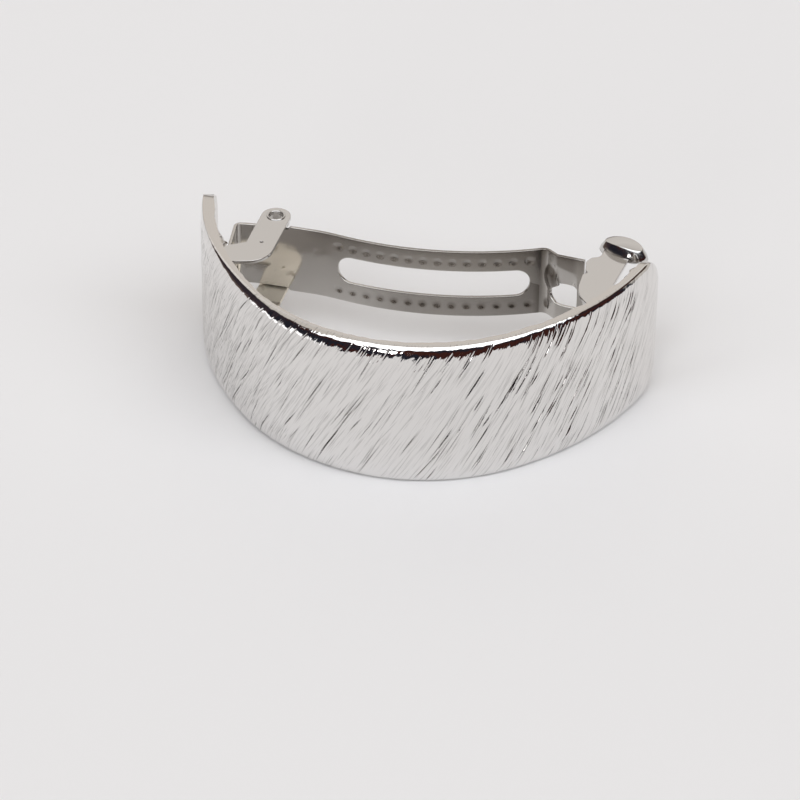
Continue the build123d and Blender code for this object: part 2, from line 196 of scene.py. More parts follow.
for share, over in (
    (masks["side"], painted["side"]), (masks["left"], painted["left"]), (to_front, front),
    (to_panel, dimmed(PANEL)), (in_lamp, LAMP),
):
    room = add_node(sky, "Mix", {0: share, 6: room, 7: over}, **COLOURS).outputs[2]
light = add_node(sky, "Background", {0: room, "Strength": BRIGHTEST})
add_node(sky, "OutputWorld", {0: light.outputs[0]})
print("sky:", len(sky.nodes), "nodes, painted", sorted(painted))

# %% Table
# Its front edge, 0.115 m before the plate, bounds the pale part of what the plate's edge reflects.
TABLE_SIZE, TABLE_MIDDLE = 1.0, 0.385
bpy.ops.mesh.primitive_plane_add(size=TABLE_SIZE, location=(0.0, TABLE_MIDDLE, 0))
table = bpy.context.object
table.name = "table"
matt = bpy.data.materials.new("matt_white_card")
matt.use_nodes = True
shader = matt.node_tree.nodes["Principled BSDF"].inputs
shader["Base Color"].default_value = linear("#eae9e9")
shader["Roughness"].default_value = 0.9
shader["Specular IOR Level"].default_value = 0.1
table.data.materials.append(matt)


# %% [markdown]
# ## From arrays to a mesh
# Every new piece ends here: rows of points and faces go into a mesh as whole arrays, each face
# round the same way, so that outsides face outwards. Shapes could be pulled by hand in edit mode,
# but a formula can be read, measured and run again.

# %% Mesh helpers
def make_piece(name, points_mm, faces, material, body, nodes):
    """Points in millimetres and index rows become a smooth mesh object that rides on a body."""
    mesh = bpy.data.meshes.new(name)
    mesh.from_pydata((np.asarray(points_mm) * MM).tolist(), [], [list(f) for f in faces])
    mesh.validate()
    mesh.polygons.foreach_set("use_smooth", np.full(len(mesh.polygons), True))
    mesh.materials.append(material)
    piece = bpy.data.objects.new(name, mesh)
    bpy.context.collection.objects.link(piece)
    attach(piece, body)
    if nodes:
        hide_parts(*nodes)
    print(name, len(mesh.vertices), "points", len(mesh.polygons), "faces")
    return piece


def set_attribute(mesh, name, values):
    """One number a point, which a material can read by its name."""
    mesh.attributes.new(name, "FLOAT", "POINT").data.foreach_set("value", values)


def grid_faces(rows, columns, start=0, flip=False):
    """Index rows of the quads of a grid of points stored row by row."""
    i = np.arange(rows - 1)[:, None] * columns + np.arange(columns - 1) + start
    quads = np.stack([i, i + 1, i + columns + 1, i + columns], axis=-1).reshape(-1, 4)
    return quads[:, ::-1] if flip else quads


def rim_loop(rows, columns):
    """Indices round the border of a grid, anticlockwise from its first corner."""
    top = np.arange(columns)
    end = np.arange(1, rows) * columns + columns - 1
    last = (rows - 1) * columns + np.arange(columns - 2, -1, -1)
    start = np.arange(rows - 2, 0, -1) * columns
    return np.concatenate([top, end, last, start])


# %% [markdown]
# ## The plate's surface
# The plate is laid out flat first, as a rounded strip 97 mm long and 21 mm tall. A point at arc
# length s and height z goes to the bent face, and sinks as it nears the outline, by an ellipse.
# The columns of the grid lean with the gouges, so that narrow gouges get many columns. A box bent
# by modifiers would do for a smooth plate, but its faces wouldn't follow the slant.

# %% Plate sizes in millimetres
PLATE_HEIGHT, PLATE_THICK = 21.0, 1.8
FRONT_RADIUS, SIDE_RADIUS = 27.2, 42.4
FRONT_HALF, SIDE_SWEEP = math.radians(43.0), math.radians(38.0)
EDGE_DEPTH, EDGE_HEIGHT, CORNER = 1.1, 3.4, 4.5
MID = PLATE_HEIGHT / 2
FRONT_ARC = FRONT_RADIUS * FRONT_HALF
HALF_LENGTH = FRONT_ARC + SIDE_RADIUS * SIDE_SWEEP
SIDE_X = -(SIDE_RADIUS - FRONT_RADIUS) * math.sin(FRONT_HALF)
SIDE_Y = FRONT_RADIUS + (SIDE_RADIUS - FRONT_RADIUS) * math.cos(FRONT_HALF)
SLANT = math.radians(60.0)
LEAN = 1 / math.tan(SLANT)
print("plate laid out:", round(2 * HALF_LENGTH, 1), "mm long")


def bent(s, z, depth):
    """Arc length, height and depth to a point: heading is s over the radius, then out by it."""
    a = np.abs(s)
    near = a <= FRONT_ARC
    heading = np.where(near, a / FRONT_RADIUS, FRONT_HALF + (a - FRONT_ARC) / SIDE_RADIUS)
    across, along = np.sin(heading), np.cos(heading)
    x = np.where(near, (FRONT_RADIUS - depth) * across, SIDE_X + (SIDE_RADIUS - depth) * across)
    y = np.where(near, FRONT_RADIUS - (FRONT_RADIUS - depth) * along, SIDE_Y - (SIDE_RADIUS - depth) * along)
    return np.stack([np.sign(s) * x, y + PLAN_SHIFT, z], axis=-1)


def outline_distance(s, z):
    """Distance inside the rounded strip's outline: to the nearest side, or to the corner's arc."""
    a = HALF_LENGTH - np.abs(s)
    b = np.minimum(z, PLATE_HEIGHT - z)
    corner = (a < CORNER) & (b < CORNER)
    return np.where(corner, CORNER - np.hypot(CORNER - a, CORNER - b), np.minimum(a, b))


def edge_depth(e):
    """Depth of the rounded edge: an ellipse EDGE_DEPTH deep that ends EDGE_HEIGHT inside."""
    c = np.clip(1 - e / EDGE_HEIGHT, 0, 1)
    return EDGE_DEPTH * (1 - np.sqrt(np.clip(1 - c * c, 0, 1)))


def eased_step(x, low, high):
    """Smooth step from 0 at low to 1 at high: t squared times (3 minus 2t)."""
    t = np.clip((x - low) / (high - low), 0, 1)
    return t * t * (3 - 2 * t)


def hump(x, middle, width):
    """Bell that is 1 in its middle: e to the power minus the square of the distance over the width."""
    return np.exp(-(((x - middle) / width) ** 2))


LUMP_CELLS = 97
lump_heights = rng.uniform(-1, 1, (LUMP_CELLS, LUMP_CELLS))


def lumps(a, b, size):
    """Value noise: random heights on a square grid of a size, joined by smooth steps."""
    ia, ib = np.floor(a / size).astype(int), np.floor(b / size).astype(int)
    fa, fb = a / size - ia, b / size - ib
    fa, fb = fa * fa * (3 - 2 * fa), fb * fb * (3 - 2 * fb)
    ia0, ia1, ib0, ib1 = (i % LUMP_CELLS for i in (ia, ia + 1, ib, ib + 1))
    low = lump_heights[ia0, ib0] * (1 - fa) + lump_heights[ia1, ib0] * fa
    high = lump_heights[ia0, ib1] * (1 - fa) + lump_heights[ia1, ib1] * fa
    return low * (1 - fb) + high * fb


def spaced(half, edge, edge_steps, middle_steps):
    """Positions from -half to half, crowded by a cosine over the last stretch at both ends."""
    ends = edge * (1 - np.cos(np.linspace(0, np.pi / 2, edge_steps + 1)))
    middle = np.linspace(-half + edge, half - edge, middle_steps + 1)
    return np.concatenate([-half + ends[:-1], middle, half - ends[:-1][::-1]])


# %% [markdown]
# ## Plated metals
# The plate is a zinc casting, polished and plated with bright nickel. A metal shader with a low
# roughness gives the mirror. The gouges could be a bump as well, but a bump bends no outline and
# looks flat from the side, so they are in the mesh itself. A fine bump adds only the shallow scores
# between them, drawn out along the same slant: its noise is measured in millimetres of the laid-out
# strip. Shade is painted into the colour where the gouges are deep, and darker streaks follow the
# fine scores. The sheet fittings have their own plating, and shade and reflection are painted into
# the arm's colour in its dents and bends and along its strips.

# %% Materials
def metal(name, colour, roughness):
    """Plated metal of one colour and roughness: the material and its shader's inputs."""
    material = bpy.data.materials.new(name)
    material.use_nodes = True
    inputs = material.node_tree.nodes["Principled BSDF"].inputs
    inputs["Base Color"].default_value = linear(colour)
    inputs["Metallic"].default_value = 1.0
    inputs["Roughness"].default_value = roughness
    return material, inputs


# The second colour is shade, painted into the gouges and along the fine scores.
PLATE_BRIGHT, PLATE_GOUGE_SHADE = "#e8e6e4", "#3d3531"
plate_metal, shader = metal("bright_nickel_on_zinc", PLATE_BRIGHT, 0.06)
tree = plate_metal.node_tree
laid_out = add_node(tree, "UVMap", uv_map="laid_out_mm").outputs[0]
turned = add_node(tree, "Mapping", {0: laid_out, "Rotation": (0, 0, -SLANT)}).outputs[0]
drawn_out = add_node(tree, "Mapping", {0: turned, "Scale": (0.16, 4.0, 1)}).outputs[0]
fine = {"Vector": drawn_out, "Scale": 1.0, "Detail": 3.0, "Roughness": 0.6}
fine = add_node(tree, "TexNoise", fine, noise_dimensions="2D").outputs[0]
apart = {0: turned, "Location": (3.7, 9.1, 0), "Scale": (0.35, 2.2, 1)}
apart = add_node(tree, "Mapping", apart).outputs[0]
scored = {"Vector": apart, "Scale": 1.0, "Detail": 1.0}
scored = add_node(tree, "TexNoise", scored, noise_dimensions="2D").outputs[0]
scored = add_node(tree, "MapRange", {0: scored, 1: 0.58, 2: 0.70}).outputs[0]
relief = add_node(tree, "Math", {0: scored, 1: -0.5, 2: fine}, operation="MULTIPLY_ADD").outputs[0]
up_the_strip = add_node(tree, "SeparateXYZ", {0: laid_out}).outputs["Y"]
from_middle = add_node(tree, "Math", {0: up_the_strip, 1: MID}, operation="SUBTRACT").outputs[0]
from_middle = add_node(tree, "Math", {0: from_middle}, operation="ABSOLUTE").outputs[0]
on_face = add_node(tree, "MapRange", {0: from_middle, 1: 9.3, 2: 7.6}, **SMOOTH).outputs[0]
bump = add_node(tree, "Bump", {"Height": relief, "Strength": on_face, "Distance": 0.032 * MM})
tree.links.new(bump.outputs[0], shader["Normal"])
# Painted shade: the colour goes darker where the gouges are deep and along the fine scores.
painted_gouge_shade = add_node(tree, "Attribute", attribute_name="painted_gouge_shade").outputs["Fac"]
streak = add_node(tree, "MapRange", {0: fine, 1: 0.53, 2: 0.70, 4: 0.24}).outputs[0]
gouge_shade_and_streaks = add_node(tree, "Math", {0: painted_gouge_shade, 1: streak}, operation="ADD", use_clamp=True).outputs[0]
colour = add_node(tree, "Mix", {0: gouge_shade_and_streaks, 6: linear(PLATE_BRIGHT), 7: linear(PLATE_GOUGE_SHADE)}, **COLOURS)
tree.links.new(colour.outputs[2], shader["Base Color"])

# The hollow face is plated as it was cast, so it mirrors softly. Rolled sheet mirrors more sharply.
plain_metal, _ = metal("bright_nickel_on_smooth_zinc", "#d6d2ce", 0.16)
sheet_metal, _ = metal("bright_nickel_on_steel_sheet", "#d3d1cf", 0.11)

# The arm is satin, but shinier and a little wavy beside the hinge: a wave every 2.4 mm.
# The darker colour is shade and reflection, painted into the arm's colour.
ARM_BASE, ARM_PAINTED_SHADE = "#c6c3bf", "#4c4138"
SATIN, SHINY = 0.2, 0.1
arm_metal, shader = metal("satin_nickel_on_spring_steel", ARM_BASE, SATIN)
tree = arm_metal.node_tree
# Painted shade and reflection: each point's number mixes in the darker colour.
painted_arm_shade = add_node(tree, "Attribute", attribute_name="painted_arm_shade").outputs["Fac"]
colour = add_node(tree, "Mix", {0: painted_arm_shade, 6: linear(ARM_BASE), 7: linear(ARM_PAINTED_SHADE)}, **COLOURS)
tree.links.new(colour.outputs[2], shader["Base Color"])
on_arm = add_node(tree, "TexCoord").outputs["Object"]
along_arm = add_node(tree, "SeparateXYZ", {0: on_arm}).outputs["X"]
by_hinge = add_node(tree, "MapRange", {0: along_arm, 1: -12.5 * MM, 2: -15.0 * MM}, **SMOOTH).outputs[0]
polish = add_node(tree, "MapRange", {0: by_hinge, 3: SATIN, 4: SHINY})
tree.links.new(polish.outputs[0], shader["Roughness"])
wavy = add_node(tree, "TexNoise", {"Vector": on_arm, "Scale": 420.0, "Detail": 1.0}).outputs[0]
bump = add_node(tree, "Bump", {"Height": wavy, "Strength": by_hinge, "Distance": 0.03 * MM})
tree.links.new(bump.outputs[0], shader["Normal"])

# The lower ear is rough and stained by flux: stains 2.4 mm apart over a grain of 1.1 mm and finer.
FLUX_PALE, FLUX_STAIN = "#f0e9dc", "#8d8172"
rough_metal, shader = metal("flux_stained_nickel", FLUX_PALE, 0.5)
tree = rough_metal.node_tree
on_ear = add_node(tree, "TexCoord").outputs["Object"]
grain = {"Vector": on_ear, "Scale": 900.0, "Detail": 4.0, "Roughness": 0.6}
grain = add_node(tree, "TexNoise", grain).outputs[0]
stain = add_node(tree, "TexNoise", {"Vector": on_ear, "Scale": 420.0, "Detail": 2.0}).outputs[0]
stain = add_node(tree, "MapRange", {0: stain, 1: 0.60, 2: 0.78}, **SMOOTH).outputs[0]
colour = add_node(tree, "Mix", {0: stain, 6: linear(FLUX_PALE), 7: linear(FLUX_STAIN)}, **COLOURS)
tree.links.new(colour.outputs[2], shader["Base Color"])
bump = add_node(tree, "Bump", {"Height": grain, "Distance": 0.12 * MM, "Strength": 0.8})
tree.links.new(bump.outputs[0], shader["Normal"])
print("materials:", sorted(material.name for material in bpy.data.materials))

# %% [markdown]
# ## Gouges
# Every gouge is one stroke with a place, a slant, a length, a width and a depth. Across it the
# surface sinks by a bell and rises in a low lip on both sides, and along it the stroke fades out
# at both ends. The photograph has some 340 clear ones, more of them at the right, over thousands of
# faint ones. Sculpting each one would take days, so their places are drawn at random from one seed,
# and are the same in every run.

# %% Gouges
LIP_HEIGHT, LIP_OUT, LIP_TIGHT = 0.35, 1.7, 1.5


def gouge_field(s, z, strokes):
    """Sum of strokes over the grid; only the columns that a stroke can reach are worked out."""
    field = np.zeros_like(s)
    first, last = s.min(axis=0), s.max(axis=0)
    for cs, cz, slant, length, width, depth in strokes:
        reach = 0.75 * length * math.cos(slant) + 5 * width
        here = slice(int(np.searchsorted(last, cs - reach)), int(np.searchsorted(first, cs + reach)))
        ds, dz = s[:, here] - cs, z[:, here] - cz
        along = ds * math.cos(slant) + dz * math.sin(slant)
        side = -ds * math.sin(slant) + dz * math.cos(slant)
        near = (np.abs(along) < length / 2) & (np.abs(side) < 4 * width)
        t = 2 * along[near] / length
        q = side[near] / width
        fade = (1 - t * t) ** 1.2
        lip = LIP_HEIGHT * np.exp(-((np.abs(q) - LIP_OUT) ** 2) * LIP_TIGHT)
        field[:, here][near] += depth * fade * (-np.exp(-q * q) + lip)
    return field


def draw_strokes(count, lengths, widths, depths, waver, start=-HALF_LENGTH, stop=HALF_LENGTH):
    """Random strokes over the strip: even places, long-tailed lengths, a slant that wavers in degrees."""
    place_s = rng.uniform(start, stop, count)
    place_z = rng.uniform(0.5, PLATE_HEIGHT + 0.5, count)
    slant = SLANT + np.radians(rng.normal(0, waver, count))
    length = np.exp(rng.uniform(*np.log(lengths), count))
    width = rng.uniform(*widths, count)
    depth = np.exp(rng.uniform(*np.log(depths), count))
    return np.stack([place_s, place_z, slant, length, width, depth], axis=-1)


strokes = np.concatenate([
    draw_strokes(250, (3.0, 10.0), (0.06, 0.10), (0.05, 0.14), 3.0),
    draw_strokes(90, (3.0, 10.0), (0.06, 0.09), (0.08, 0.16), 3.0, start=12.0),
])
faint_strokes = np.concatenate([
    draw_strokes(1200, (2.5, 9.0), (0.055, 0.09), (0.010, 0.040), 4.0),
    draw_strokes(1500, (1.5, 7.0), (0.05, 0.075), (0.02, 0.05), 4.0, stop=-12.0),
])
print(len(strokes), "gouges and", len(faint_strokes), "faint ones")

# %% [markdown]
# ## Front face, rim and hollow face
# The grid's columns lean by the gouges' slant, and stand upright again towards both ends. Near a
# corner they are squeezed in by as much as the corner's arc is. Then the gouges and the uneven
# edge are added, each with a mask: the edge is calm and the gouges stop short of it at both sides,
# and the outer millimetres of both ends are nearly smooth. How deep the edge sinks also changes
# along the plate, because the real casting is worn so. A painted picture could hold such masks, but
# steps and bells along the plate are easier to read and to change.

# %% Front face of the plate
EDGE_STEPS, MIDDLE_COLUMNS, MIDDLE_ROWS = 12, 1156, 48
UPRIGHT_RUN, SQUEEZE_RUN = 11.0, 7.0
columns = spaced(HALF_LENGTH, EDGE_HEIGHT, EDGE_STEPS, MIDDLE_COLUMNS)
rows = spaced(MID, EDGE_HEIGHT, EDGE_STEPS, MIDDLE_ROWS) + MID
leaning = np.clip((HALF_LENGTH - np.abs(columns)) / UPRIGHT_RUN, 0, 1)
s = columns + LEAN * leaning * (rows[:, None] - MID)
z = np.repeat(rows[:, None], len(columns), axis=1)
b = np.minimum(z, PLATE_HEIGHT - z)
cut = np.where(b < CORNER, CORNER - np.sqrt(np.clip(CORNER**2 - (CORNER - b) ** 2, 0, None)), 0)
beyond = np.clip(np.abs(s) - (HALF_LENGTH - SQUEEZE_RUN), 0, None)
s = np.sign(s) * (np.abs(s) - beyond * cut / SQUEEZE_RUN)
e = outline_distance(s, z)

to_face = np.clip((e - 0.8) / 1.6, 0, 1)
to_edge = np.clip((e - 0.35) / 0.5, 0, 1)
calm = np.maximum(eased_step(s, 29, 34), eased_step(-s, 20, 30))
at_ends = eased_step(np.abs(s), HALF_LENGTH - 8.0, HALF_LENGTH - 4.0)
gouges = gouge_field(s, z, strokes) * (to_edge * (1 - calm) + to_face * calm)
gouges *= 1 - 0.9 * at_ends
gouges += gouge_field(s, z, faint_strokes) * to_face * (1 - 0.6 * at_ends)
edge_share = 1 - 0.74 * eased_step(-s, 24, 41) - 0.12 * eased_step(s, 20, 32)
edge_share += 0.33 * hump(s, -13, 11)
uneven = 0.024 * lumps(s, z, 0.75) + 0.012 * lumps(s + 31, z + 17, 0.35)
uneven *= np.clip((EDGE_HEIGHT + 0.6 - e) / 1.5, 0, 1) * np.clip(e / 0.3, 0, 1) * (1 - 0.3 * calm)
uneven *= 1 + 0.45 * hump(s, -8, 14) + 0.7 * hump(s, 27, 6)
skin = bent(s, z, edge_depth(e) * edge_share - gouges + uneven)
print("grid", s.shape, "deepest gouge", round(float(gouges.min()), 3), "mm")

# %% Hollow face and rim
# The hollow face is a grid of every fourth row and column, so each of its rim's edges is joined to
# four edges of the front's rim by a fan of five triangles.
STEP = 4
back_s, back_z = s[::STEP, ::STEP], z[::STEP, ::STEP]
near_rim = np.abs(back_z - MID) > 9.6
rough_rim = 0.10 + 0.22 * eased_step(-back_s, 38, 44) + 0.12 * eased_step(back_s, 18, 26)
hollow = bent(back_s, back_z, PLATE_THICK + near_rim * rough_rim * lumps(back_s, back_z, 0.9))
points = np.concatenate([skin.reshape(-1, 3), hollow.reshape(-1, 3)])
front_loop = rim_loop(*s.shape)
back_loop = rim_loop(*back_s.shape) + s.size
k = np.arange(len(back_loop))
f = front_loop[(k[:, None] * STEP + np.arange(STEP + 1)) % len(front_loop)]
b0, b1 = back_loop, np.roll(back_loop, -1)
f0, f1, f2, f3, f4 = f.T
fan = ((f1, f0, b0), (f2, f1, b0), (f2, b0, b1), (f3, f2, b1), (f4, f3, b1))
fans = np.concatenate([np.stack(corners, axis=-1) for corners in fan])
front_faces = grid_faces(*s.shape)
faces = [*front_faces.tolist(), *grid_faces(*back_s.shape, start=s.size, flip=True).tolist(), *fans.tolist()]
plate = make_piece("plate_skin", points, faces, plate_metal, "band", ["front_plate"]).data

plate.materials.append(plain_metal)
plate.polygons.foreach_set("material_index", (np.arange(len(faces)) >= len(front_faces)).astype(int))
corner_points = np.empty(len(plate.loops), dtype=int)
plate.loops.foreach_get("vertex_index", corner_points)
flat_places = np.concatenate([np.stack(grid, -1).reshape(-1, 2) for grid in ((s, z), (back_s, back_z))])
plate.uv_layers.new(name="laid_out_mm").data.foreach_set("uv", flat_places[corner_points].ravel())
# Painted shade in the gouges: the deeper a point lies in one, the darker its colour.
painted_shade_in_gouges = np.zeros(len(points))
painted_shade_in_gouges[:s.size] = np.clip((-gouges - 0.006) / np.where(np.abs(s) < 20, 0.15, 0.11), 0, 1).ravel()
set_attribute(plate, "painted_gouge_shade", painted_shade_in_gouges)
pairs = np.empty(len(plate.edges) * 2, dtype=int)
plate.edges.foreach_get("vertices", pairs)
pairs = pairs.reshape(-1, 2)
sharp = np.isin(pairs, front_loop).all(axis=1) | np.isin(pairs, back_loop).all(axis=1)
plate.edges.foreach_set("use_edge_sharp", sharp)

# %% [markdown]
# ## Sheet fittings
# The brackets are cut from thin sheet. A Solidify and a Bevel modifier on an outline could make
# them, but rings that are worked out from the outline give exactly the thickness and the eased
# edges that are wanted. A flat piece is an outline with holes; its edge is a short ladder of rings
# that eases both corners, and two caps close it. The strips along the plate are swept over the
# plate's own curve. The lower ears and wings are the upper ones mirrored about mid-height.

# %% Flat sheet pieces
SHEET, ARM_SHEET, SEAT_GAP = 0.5, 0.45, 0.06
END_HEADING = FRONT_HALF + SIDE_SWEEP
TIP_X = SIDE_X + SIDE_RADIUS * math.sin(END_HEADING)
TIP_Y = SIDE_Y - SIDE_RADIUS * math.cos(END_HEADING)
HINGE_X, HINGE_Y = -(TIP_X - 9.46), TIP_Y + 1.97
EAR_SPAN, CATCH_SPAN = 10.9, 11.7
WEB_DEPTH = PLATE_THICK + SEAT_GAP + SHEET / 2


def side_point(degrees, depth, side):
    """Plan point on a side arc of the plate at a heading and a depth."""
    a = math.radians(degrees)
    reach = SIDE_RADIUS - depth
    return np.array([side * (SIDE_X + reach * math.sin(a)), SIDE_Y - reach * math.cos(a)])


def round_corners(corners, radii, steps):
    """Plan outline with each corner cut by an arc that touches both of its sides."""
    corners = np.asarray(corners, dtype=float)
    outline = []
    for i, (corner, radius) in enumerate(zip(corners, radii)):
        if radius == 0:
            outline.append(corner)
            continue
        to_last = corners[i - 1] - corner
        to_next = corners[(i + 1) % len(corners)] - corner
        to_last /= np.linalg.norm(to_last)
        to_next /= np.linalg.norm(to_next)
        half = math.acos(float(np.clip(to_last @ to_next, -1, 1))) / 2
        middle = (to_last + to_next) / np.linalg.norm(to_last + to_next)
        centre = corner + middle * radius / math.sin(half)
        first = corner + to_last * radius / math.tan(half) - centre
        last = corner + to_next * radius / math.tan(half) - centre
        swing = math.atan2(first[0] * last[1] - first[1] * last[0], first @ last)
        for t in np.linspace(0, swing, steps):
            c, d = math.cos(t), math.sin(t)
            outline.append(centre + np.array([first[0] * c - first[1] * d, first[0] * d + first[1] * c]))
    return np.array(outline)


def hole(x, y, radius, count=48):
    """Points round a circle, clockwise."""
    t = -np.linspace(0, 2 * np.pi, count, endpoint=False)
    return np.stack([x + radius * np.cos(t), y + radius * np.sin(t)], axis=-1)


def inset(loop, amount):
    """Loop moved to its left by an amount, along the mean of both sides' normals at each point."""
    before, after = loop - np.roll(loop, 1, axis=0), np.roll(loop, -1, axis=0) - loop
    before /= np.linalg.norm(before, axis=1, keepdims=True)
    after /= np.linalg.norm(after, axis=1, keepdims=True)
    normal = np.stack([-(before + after)[:, 1], (before + after)[:, 0]], axis=-1)
    normal /= np.linalg.norm(normal, axis=1, keepdims=True)
    return loop + normal * amount


def ring_faces(rings, around, start=0, closed=False):
    """Quads between rings of points stored one after another; closed joins the last to the first."""
    i = np.arange(around)
    j = (i + 1) % around
    a = np.arange(rings if closed else rings - 1)[:, None] * around
    b = (a + around) % (rings * around)
    return start + np.stack([a + i, b + i, b + j, a + j], axis=-1).reshape(-1, 4)


def sheet_plate(outline, holes, low, high, easing=0.07):
    """Flat sheet from an anticlockwise outline and clockwise holes: rings down the wall, two caps."""
    rings = [
        (easing, high), (easing * 0.3, high - easing * 0.3), (0, high - easing),
        (0, low + easing), (easing * 0.3, low + easing * 0.3), (easing, low),
    ]
    points, faces, caps = [], [], [[], []]
    for loop in [outline, *holes]:
        count = len(loop)
        start = sum(len(p) for p in points)
        points += [np.column_stack([inset(loop, amount), np.full(count, z)]) for amount, z in rings]
        faces += ring_faces(len(rings), count, start).tolist()
        caps[0].append(start + np.arange(count))
        caps[1].append(start + (len(rings) - 1) * count + np.arange(count))
    points = np.concatenate(points)
    flat = [False] * len(faces)
    for side, cap in enumerate(caps):
        triangles = tessellate_polygon([[Vector(point) for point in points[ring]] for ring in cap])
        triangles = np.concatenate(cap)[np.array(triangles)]
        p, q, r = (points[triangles[:, k]] for k in range(3))
        facing_up = np.cross(q - p, r - p)[:, 2] > 0
        wrong = facing_up != (side == 0)
        triangles[wrong] = triangles[wrong, ::-1]
        faces += triangles.tolist()
        flat += [True] * len(triangles)
    return points, faces, flat


def swept(sections, closed):
    """Side quads between closed sections, and a cap at both ends unless the sweep is closed."""
    sections = np.asarray(sections)
    rows_n, count = sections.shape[:2]
    faces = ring_faces(rows_n, count, closed=closed).tolist()
    if not closed:
        faces.append(list(range(count)))
        faces.append(list(range(rows_n * count - 1, (rows_n - 1) * count - 1, -1)))
    return sections.reshape(-1, 3), faces


def joined(parts):
    """Several lists of points, faces and flat marks as one."""
    points, faces, flat = [], [], []
    for part_points, part_faces, part_flat in parts:
        start = sum(len(p) for p in points)
        points.append(np.asarray(part_points))
        faces.extend([[i + start for i in face] for face in part_faces])
        flat.extend(part_flat)
    return np.concatenate(points), faces, flat


def web_strip(first, last, side, span):
    """Sheet bent along the plate's hollow side: an eased oblong section swept over the headings."""
    half, thick, easing = span / 2, SHEET / 2, 0.08
    section = np.array([
        (-thick, -half + easing), (-thick, half - easing), (-thick + easing, half), (thick - easing, half),
        (thick, half - easing), (thick, -half + easing), (thick - easing, -half), (-thick + easing, -half),
    ])
    section = section if side > 0 else section[::-1]
    headings = np.radians(np.linspace(first, last, 13))[:, None]
    reach = SIDE_RADIUS - (WEB_DEPTH + section[:, 0])
    x, y = side * (SIDE_X + reach * np.sin(headings)), SIDE_Y - reach * np.cos(headings)
    z = np.broadcast_to(MID + section[:, 1], x.shape)
    points, faces = swept(np.stack([x, y, z], axis=-1), closed=False)
    return points, faces, [True] * len(faces)


def lower_twin(part):
    """Mirror image about mid-height, with its faces turned round."""
    points = np.asarray(part[0]).copy()
    points[:, 2] = 2 * MID - points[:, 2]
    return points, [list(reversed(face)) for face in part[1]], part[2]


def half_round(radius, count):
    """Points of a half circle round the hinge, from its right side to its left."""
    turns = np.linspace(0, np.pi, count)
    return np.stack([HINGE_X + radius * np.cos(turns), HINGE_Y + radius * np.sin(turns)], axis=-1)


# %% Hinge bracket
EAR_HALF, ELBOW_DROP, CROTCH_DROP, ELBOW_RADIUS = 2.0, 10.8, 7.25, 3.4
RIVET_HOLE = 1.12
DOT_X, DOT_Y, DOT_RADIUS = -22.06, 26.91, 0.22
ear_corners = [
    side_point(64.3, WEB_DEPTH, -1), (HINGE_X + EAR_HALF, HINGE_Y - ELBOW_DROP), *half_round(EAR_HALF, 25),
    (HINGE_X - EAR_HALF, HINGE_Y - CROTCH_DROP), side_point(69.5, WEB_DEPTH, -1),
]
ear_outline = round_corners(ear_corners, [0, ELBOW_RADIUS, *([0] * 25), 0.3, 0], 14)
rivet_hole = hole(HINGE_X, HINGE_Y, RIVET_HOLE)
ear_holes = [rivet_hole, hole(DOT_X, DOT_Y, DOT_RADIUS, 16)]
ear = sheet_plate(ear_outline, ear_holes, MID + EAR_SPAN / 2 - SHEET, MID + EAR_SPAN / 2)
hinge_parts = joined([ear, lower_twin(ear), web_strip(62.5, 74.6, -1, EAR_SPAN)])

# %% Catch bracket
# The wing's corners run from its foot up its right side, round under the pad and down its left side
# with the tooth and notch. Each is measured from the wing's left edge and the plate's tip, and has
# the radius that rounds it.
WING_LEFT = TIP_X - 10.3
NOTCH_Y = TIP_Y - 1.0
TOOTH_Y = NOTCH_Y + 2.2
PAD_X, PAD_Y = WING_LEFT + 3.75, TIP_Y + 5.9
wing_corners = [
    (side_point(66.3, WEB_DEPTH, 1), 0), (side_point(73.0, WEB_DEPTH, 1), 0),
    ((WING_LEFT + 4.2, TIP_Y - 3.0), 1.0), ((WING_LEFT + 4.8, TIP_Y + 3.6), 2.0),
    ((WING_LEFT + 4.8, PAD_Y - 0.5), 0.3), ((WING_LEFT + 1.2, PAD_Y - 0.5), 0.3),
    ((WING_LEFT + 1.1, TIP_Y + 3.65), 0.8), ((WING_LEFT - 0.05, TOOTH_Y + 1.75), 0.5),
    ((WING_LEFT - 0.45, TOOTH_Y + 0.7), 0.6), ((WING_LEFT - 0.05, NOTCH_Y + 0.75), 0.1),
    ((WING_LEFT + 0.35, NOTCH_Y + 0.35), 0.12), ((WING_LEFT - 0.22, NOTCH_Y - 0.15), 0.3),
    ((WING_LEFT - 0.05, TIP_Y - 7.4), 6.0),
]
wing_outline = round_corners(*zip(*wing_corners), 12)
wing = sheet_plate(wing_outline, [], MID + CATCH_SPAN / 2 - SHEET, MID + CATCH_SPAN / 2)

# %% Finger pads
# A pad is an oval button. Its wall leans in more and more, from 15 to 30 degrees, under a top that
# is bent down to both narrow ends, like a barrel. The profile is a list of insets from the foot's
# oval and heights above the wing's face: the wall, a small rounded edge, and the top to its crown.
PAD_LONG, PAD_WIDE, PAD_TURN, PAD_WALL = 3.5, 2.0, math.radians(-15.0), 1.25
LEAN_LOW, LEAN_HIGH, WALL_STEPS = 15, 30, 9
EDGE_ROUND, CROWN_RISE, PAD_BARREL, PAD_SKIN = 0.1, 0.08, 9.2, 0.4
NARROW = 0.45
wall_lean = np.radians(np.linspace(LEAN_LOW, LEAN_HIGH, WALL_STEPS + 1))
wall_steps = np.tan((wall_lean[1:] + wall_lean[:-1]) / 2)
wall_inset = np.concatenate([[0], np.cumsum(wall_steps) * (PAD_WALL + SHEET) / WALL_STEPS])
turn_over = np.radians(np.linspace(LEAN_HIGH, 86, 7))
round_x = wall_inset[-1] + EDGE_ROUND * math.cos(turn_over[0])
round_z = PAD_WALL - EDGE_ROUND * math.sin(turn_over[0])
